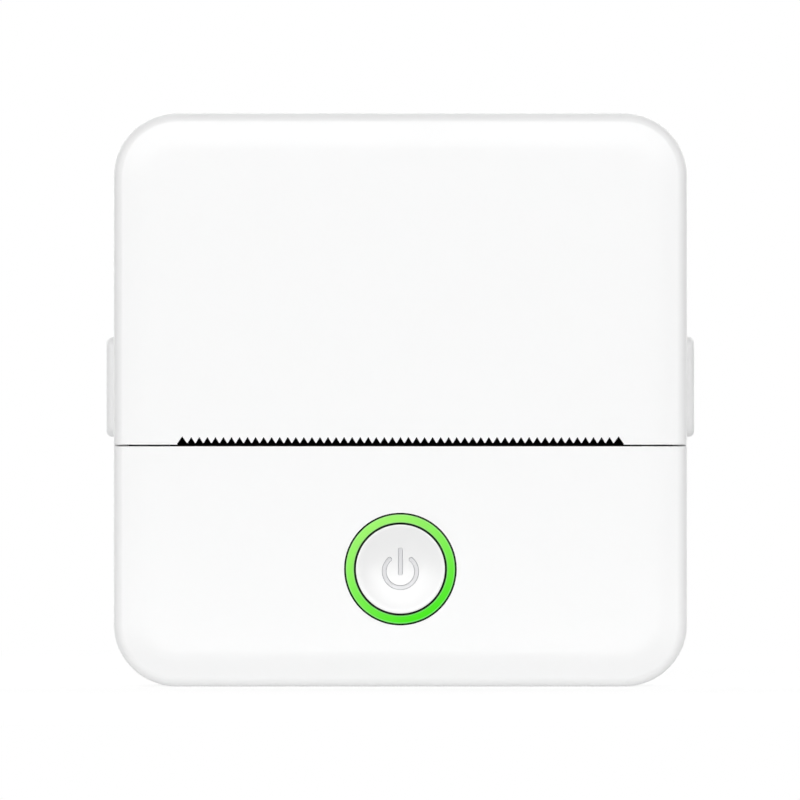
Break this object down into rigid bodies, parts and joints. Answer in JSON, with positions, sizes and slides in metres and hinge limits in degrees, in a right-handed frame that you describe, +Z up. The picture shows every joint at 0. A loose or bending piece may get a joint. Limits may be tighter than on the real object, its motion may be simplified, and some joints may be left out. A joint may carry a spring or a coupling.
{
  "type": "portable photo printer",
  "caption": "Pocket thermal photo printer: rounded square white casing, hinged upper cover with toothed tear edge, side release buttons, green-ringed power button.",
  "frame": {"origin": "middle of the bottom face that the printer stands on", "axes": "+Z up, the front with the slit and the power button faces -Y, +X to the right seen from the front"},
  "size_m": [0.0822, 0.04, 0.08],
  "materials": {
    "white_shell": "fine satin moulded white",
    "white_button": "fine satin moulded white",
    "cap_white": "silver white satin",
    "ring_green": "bright green translucent",
    "black_frame": "matt black moulded",
    "platen_rubber": "ground dark rubber",
    "steel_pin": "drawn steel",
    "spring_steel": "spring wire",
    "screw_steel": "zinc plated",
    "gear_plastic": "natural acetal",
    "bushing_plastic": "black acetal",
    "motor_steel": "plated drawn can",
    "head_aluminium": "extruded",
    "head_glaze": "glazed alumina",
    "flex_film": "amber flex film",
    "board_green": "green solder mask",
    "connector_white": "moulded",
    "socket_steel": "nickel plated",
    "switch_black": "moulded",
    "plunger_grey": "moulded",
    "lamp_resin": "clear resin",
    "pouch_foil": "laminated foil pouch",
    "thermal_paper": "smooth coated paper",
    "core_plastic": "moulded"
  },
  "bodies": {
    "casing": {"rear_shell": "white_shell", "front_panel": "white_shell", "hinge_pins": "steel_pin", "chassis": "black_frame", "gear_posts": "steel_pin", "gear_clips": "spring_steel", "motor": "motor_steel", "motor_screws": "screw_steel", "head_pivot_pin": "steel_pin", "head_springs": "spring_steel", "main_board": "board_green", "board_screws": "screw_steel", "usb_socket": "socket_steel", "power_switch": "switch_black", "ring_lights": "lamp_resin", "ribbon_connector": "connector_white", "head_ribbon": "flex_film", "paper_sensor": "switch_black", "battery": "pouch_foil", "light_ring": "ring_green", "release_spring_right": "spring_steel", "release_spring_left": "spring_steel", "shell_screws": "screw_steel"},
    "cover": {"upper_cover": "white_shell", "platen_bracket": "black_frame", "bracket_screws": "screw_steel", "platen_bushings": "bushing_plastic"},
    "platen": {"platen_shaft": "steel_pin", "platen_roller": "platen_rubber", "platen_gear": "gear_plastic"},
    "idler": {"idler_gear": "gear_plastic"},
    "reduction": {"reduction_gear": "gear_plastic"},
    "motor_rotor": {"motor_pinion": "gear_plastic"},
    "head": {"head_heatsink": "head_aluminium", "head_ceramic": "head_glaze"},
    "power_button": {"power_button": "cap_white", "switch_plunger": "plunger_grey"},
    "release_right": {"release_button_right": "white_button"},
    "release_left": {"release_button_left": "white_button"},
    "roll": {"paper_roll": "thermal_paper", "roll_core": "core_plastic"}
  },
  "joints": [
    {"name": "cover_hinge", "type": "hinge", "parent": "casing", "child": "cover", "pos_m": [0, -0.008, 0.0775], "axis": [-1, 0, 0], "range_deg": [0, 90]},
    {"name": "platen_spin", "type": "hinge", "parent": "cover", "child": "platen", "pos_m": [0, -0.0128, 0.03882], "axis": [1, 0, 0], "continuous": true},
    {"name": "idler_spin", "type": "hinge", "parent": "casing", "child": "idler", "pos_m": [0.0339, -0.00381, 0.0377], "axis": [1, 0, 0], "continuous": true},
    {"name": "reduction_spin", "type": "hinge", "parent": "casing", "child": "reduction", "pos_m": [0.0325, -0.00066, 0.03028], "axis": [1, 0, 0], "continuous": true},
    {"name": "motor_spin", "type": "hinge", "parent": "casing", "child": "motor_rotor", "pos_m": [0.0325, 0.00635, 0.02538], "axis": [1, 0, 0], "continuous": true},
    {"name": "head_pivot", "type": "hinge", "parent": "casing", "child": "head", "pos_m": [0, -0.0053, 0.02792], "axis": [-1, 0, 0], "range_deg": [0, 2], "stiffness_Nm_per_rad": 0.3, "springref_deg": -5.73, "deforming": ["head_springs"]},
    {"name": "power_press", "type": "slide", "parent": "casing", "child": "power_button", "axis": [0, 1, 0], "range_m": [0, 0.0005], "stiffness_N_per_m": 400, "springref_m": -0.0005},
    {"name": "release_press_right", "type": "slide", "parent": "casing", "child": "release_right", "axis": [-1, 0, 0], "range_m": [0, 0.0008], "stiffness_N_per_m": 400, "springref_m": -0.001, "deforming": ["release_spring_right"]},
    {"name": "release_press_left", "type": "slide", "parent": "casing", "child": "release_left", "axis": [1, 0, 0], "range_m": [0, 0.0008], "stiffness_N_per_m": 400, "springref_m": -0.001, "deforming": ["release_spring_left"]},
    {"name": "roll_spin", "type": "hinge", "parent": "casing", "child": "roll", "pos_m": [0, 0.0012, 0.05942], "axis": [1, 0, 0], "continuous": true}
  ],
  "couplings": [
    {"joint": "idler_spin", "follows": "platen_spin", "ratio": -0.8},
    {"joint": "reduction_spin", "follows": "platen_spin", "ratio": 1.3333},
    {"joint": "motor_spin", "follows": "platen_spin", "ratio": -3.2}
  ]
}
